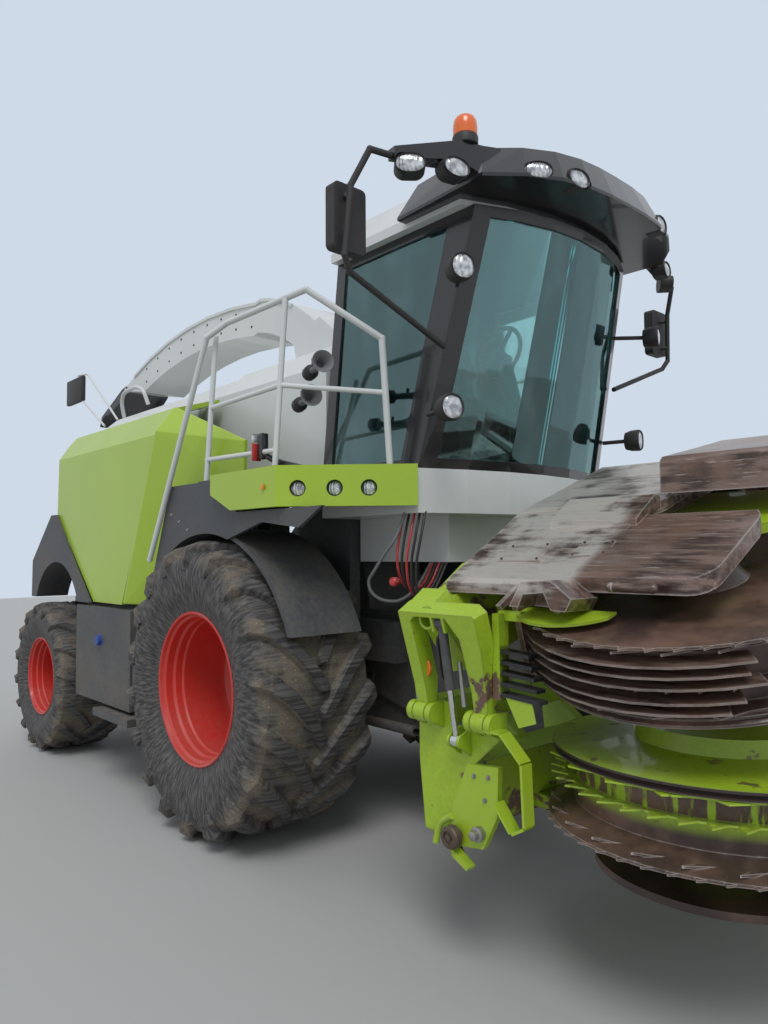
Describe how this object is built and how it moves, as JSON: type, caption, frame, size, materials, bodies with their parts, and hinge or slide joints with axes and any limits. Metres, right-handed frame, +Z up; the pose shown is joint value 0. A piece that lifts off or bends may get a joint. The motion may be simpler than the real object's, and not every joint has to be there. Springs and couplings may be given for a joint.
{
  "type": "self-propelled forage harvester with a folding rotary maize header",
  "caption": "Self-propelled forage harvester with cab, discharge spout, steered rear axle and a rotary maize header folded for the road.",
  "frame": {"origin": "on the ground at the middle of the whole machine's bounding box", "axes": "+X forward towards the header, +Y to the machine's left, +Z up"},
  "size_m": [9.17, 3.366, 4.2544],
  "materials": {
    "tyre": "lugged rubber with dry mud",
    "rim_red": "gloss red paint",
    "lime": "gloss lime green paint, dusty",
    "pale": "gloss pale grey paint",
    "anthracite": "moulded dark grey plastic",
    "black": "black",
    "frame_dark": "dark grey paint",
    "glass": "green tinted glass",
    "steel": "worn steel",
    "amber": "amber lens",
    "cloth": "dark seat cloth",
    "tube": "light grey paint",
    "chrome": "polished",
    "worn_iron": "rusty plate scraped bright along its edges"
  },
  "bodies": {
    "chassis": {"chassis_frame": "frame_dark", "front_axle": "frame_dark", "rear_axle": "frame_dark", "engine_block": "frame_dark", "chopper_housing": "frame_dark", "side_tanks": "anthracite", "mudguards": "anthracite", "platforms": "frame_dark", "lime_cladding": "lime", "railings": "tube", "ladder": "frame_dark", "cab_base": "pale", "cab_frame": "black", "cab_glass": "glass", "cab_roof": "pale", "roof_visor": "black", "seat": "cloth", "cab_controls": "black", "work_lamps": "chrome", "beacon": "amber", "mirrors": "black", "upper_body": "pale", "cooler_housing": "anthracite"},
    "door": {"cab_door": "black", "door_glass": "glass"},
    "hood": {"rear_hood": "anthracite"},
    "panel_right": {"side_panel_right": "lime"},
    "panel_left": {"side_panel_left": "lime"},
    "turret": {"spout_turret": "pale"},
    "spout": {"spout_arch": "pale"},
    "flap": {"spout_flap": "steel"},
    "spout_cylinder": {"spout_barrel": "frame_dark"},
    "spout_piston": {"spout_rod": "chrome"},
    "wheel_front_right": {"tyre_front_right": "tyre", "rim_front_right": "rim_red"},
    "wheel_front_left": {"tyre_front_left": "tyre", "rim_front_left": "rim_red"},
    "wheel_rear_right": {"tyre_rear_right": "tyre", "rim_rear_right": "rim_red"},
    "wheel_rear_left": {"tyre_rear_left": "tyre", "rim_rear_left": "rim_red"},
    "steer_right": {"knuckle_right": "frame_dark"},
    "steer_left": {"knuckle_left": "frame_dark"},
    "steer_rod": {"tie_rod": "steel"},
    "feeder": {"feeder_housing": "frame_dark", "header_frame": "lime"},
    "lift_cylinders": {"lift_barrels": "frame_dark"},
    "lift_pistons": {"lift_rods": "chrome"},
    "main_rotor_right": {"rotor_right": "lime"},
    "main_rotor_left": {"rotor_left": "lime"},
    "fold_wing_right": {"wing_right": "lime", "skids_right": "worn_iron"},
    "fold_wing_left": {"wing_left": "lime", "skids_left": "worn_iron"},
    "outer_rotor_right": {"wing_rotor_right": "lime"},
    "outer_rotor_left": {"wing_rotor_left": "lime"},
    "fold_cylinder_right": {"fold_barrel_right": "black"},
    "fold_piston_right": {"fold_rod_right": "chrome"},
    "fold_cylinder_left": {"fold_barrel_left": "black"},
    "fold_piston_left": {"fold_rod_left": "chrome"}
  },
  "joints": [
    {"name": "front_right_roll", "type": "hinge", "parent": "chassis", "child": "wheel_front_right", "pos_m": [0.4, -1.225, 0.975], "axis": [0, 1, 0], "continuous": true},
    {"name": "steer_right_turn", "type": "hinge", "parent": "chassis", "child": "steer_right", "pos_m": [-2.7, -1.05, 0.7], "axis": [0, 0, 1], "range_deg": [-40, 40]},
    {"name": "rear_right_roll", "type": "hinge", "parent": "steer_right", "child": "wheel_rear_right", "pos_m": [-2.7, -1.275, 0.7], "axis": [0, 1, 0], "continuous": true},
    {"name": "front_left_roll", "type": "hinge", "parent": "chassis", "child": "wheel_front_left", "pos_m": [0.4, 1.225, 0.975], "axis": [0, 1, 0], "continuous": true},
    {"name": "steer_left_turn", "type": "hinge", "parent": "chassis", "child": "steer_left", "pos_m": [-2.7, 1.05, 0.7], "axis": [0, 0, 1], "range_deg": [-40, 40]},
    {"name": "rear_left_roll", "type": "hinge", "parent": "steer_left", "child": "wheel_rear_left", "pos_m": [-2.7, 1.275, 0.7], "axis": [0, 1, 0], "continuous": true},
    {"name": "steer_rod_slide", "type": "slide", "parent": "chassis", "child": "steer_rod", "axis": [0, 1, 0], "range_m": [-0.15, 0.15]},
    {"name": "door_swing", "type": "hinge", "parent": "chassis", "child": "door", "pos_m": [1.054, 0.952, 2.35], "axis": [0, -0.0935, 0.9956], "range_deg": [0, 78]},
    {"name": "hood_lift", "type": "hinge", "parent": "chassis", "child": "hood", "pos_m": [-3.16, 0, 3.06], "axis": [0, 1, 0], "range_deg": [0, 60]},
    {"name": "panel_right_lift", "type": "hinge", "parent": "chassis", "child": "panel_right", "pos_m": [-1.5, -0.885, 3.11], "axis": [-1, 0, 0], "range_deg": [0, 60]},
    {"name": "panel_left_lift", "type": "hinge", "parent": "chassis", "child": "panel_left", "pos_m": [-1.5, 0.885, 3.11], "axis": [1, 0, 0], "range_deg": [0, 60]},
    {"name": "spout_turn", "type": "hinge", "parent": "chassis", "child": "turret", "pos_m": [0.13, 0, 3], "axis": [0, 0, 1], "range_deg": [-105, 105]},
    {"name": "spout_lift", "type": "hinge", "parent": "turret", "child": "spout", "pos_m": [-0.2134, 0, 3.63332], "axis": [0, 1, 0], "range_deg": [0, 20]},
    {"name": "spout_cylinder_swing", "type": "hinge", "parent": "turret", "child": "spout_cylinder", "pos_m": [-0.2, 0.315, 3.44], "axis": [0, 1, 0], "range_deg": [-1, 18]},
    {"name": "spout_piston_slide", "type": "slide", "parent": "spout_cylinder", "child": "spout_piston", "axis": [-0.9062, 0, 0.4229], "range_m": [-0.005, 0.06]},
    {"name": "flap_tilt", "type": "hinge", "parent": "spout", "child": "flap", "pos_m": [-3.8, 0, 3.835], "axis": [0, -1, 0], "range_deg": [0, 50]},
    {"name": "feeder_lift", "type": "hinge", "parent": "chassis", "child": "feeder", "pos_m": [0.85, 0, 1], "axis": [0, 1, 0], "range_deg": [-6, 10]},
    {"name": "lift_cylinder_swing", "type": "hinge", "parent": "chassis", "child": "lift_cylinders", "pos_m": [0.7, 0, 0.7], "axis": [0, 1, 0], "range_deg": [-6, 10]},
    {"name": "lift_piston_slide", "type": "slide", "parent": "lift_cylinders", "child": "lift_pistons", "axis": [1, 0, 0], "range_m": [-0.06, 0.04]},
    {"name": "main_rotor_right_spin", "type": "hinge", "parent": "feeder", "child": "main_rotor_right", "pos_m": [3.5, -0.75, 0.9], "axis": [0, 0, 1], "continuous": true},
    {"name": "wing_right_fold", "type": "hinge", "parent": "feeder", "child": "fold_wing_right", "pos_m": [2.7, -1.5, 1.13], "axis": [1, 0, 0], "range_deg": [0, 163]},
    {"name": "outer_rotor_right_spin", "type": "hinge", "parent": "fold_wing_right", "child": "outer_rotor_right", "pos_m": [3.5, -0.84125, 1.54054], "axis": [0, 0.2924, -0.9563], "continuous": true},
    {"name": "fold_cylinder_right_swing", "type": "hinge", "parent": "fold_wing_right", "child": "fold_cylinder_right", "pos_m": [2.68, -1.58747, 1.55291], "axis": [1, 0, 0], "range_deg": [-1, 2]},
    {"name": "fold_piston_right_slide", "type": "slide", "parent": "fold_cylinder_right", "child": "fold_piston_right", "axis": [0, 0.165, -0.9863], "range_m": [-0.205, 0.01]},
    {"name": "main_rotor_left_spin", "type": "hinge", "parent": "feeder", "child": "main_rotor_left", "pos_m": [3.5, 0.75, 0.9], "axis": [0, 0, 1], "continuous": true},
    {"name": "wing_left_fold", "type": "hinge", "parent": "feeder", "child": "fold_wing_left", "pos_m": [2.7, 1.5, 1.13], "axis": [-1, 0, 0], "range_deg": [0, 163]},
    {"name": "outer_rotor_left_spin", "type": "hinge", "parent": "fold_wing_left", "child": "outer_rotor_left", "pos_m": [3.5, 0.84125, 1.54054], "axis": [0, -0.2924, -0.9563], "continuous": true},
    {"name": "fold_cylinder_left_swing", "type": "hinge", "parent": "fold_wing_left", "child": "fold_cylinder_left", "pos_m": [2.68, 1.58747, 1.55291], "axis": [-1, 0, 0], "range_deg": [-1, 2]},
    {"name": "fold_piston_left_slide", "type": "slide", "parent": "fold_cylinder_left", "child": "fold_piston_left", "axis": [0, -0.165, -0.9863], "range_m": [-0.205, 0.01]}
  ],
  "couplings": [
    {"joint": "steer_left_turn", "follows": "steer_right_turn", "ratio": 1},
    {"joint": "steer_rod_slide", "follows": "steer_right_turn", "m_per_rad": -0.2},
    {"joint": "spout_cylinder_swing", "follows": "spout_lift", "ratio": 0.862},
    {"joint": "spout_piston_slide", "follows": "spout_lift", "m_per_rad": 0.153},
    {"joint": "lift_cylinder_swing", "follows": "feeder_lift", "ratio": 0.875},
    {"joint": "lift_piston_slide", "follows": "feeder_lift", "m_per_rad": -0.303},
    {"joint": "fold_cylinder_right_swing", "follows": "wing_right_fold", "ratio": 0.0036},
    {"joint": "fold_piston_right_slide", "follows": "wing_right_fold", "m_per_rad": -0.0695},
    {"joint": "fold_cylinder_left_swing", "follows": "wing_left_fold", "ratio": 0.0036},
    {"joint": "fold_piston_left_slide", "follows": "wing_left_fold", "m_per_rad": -0.0695}
  ]
}
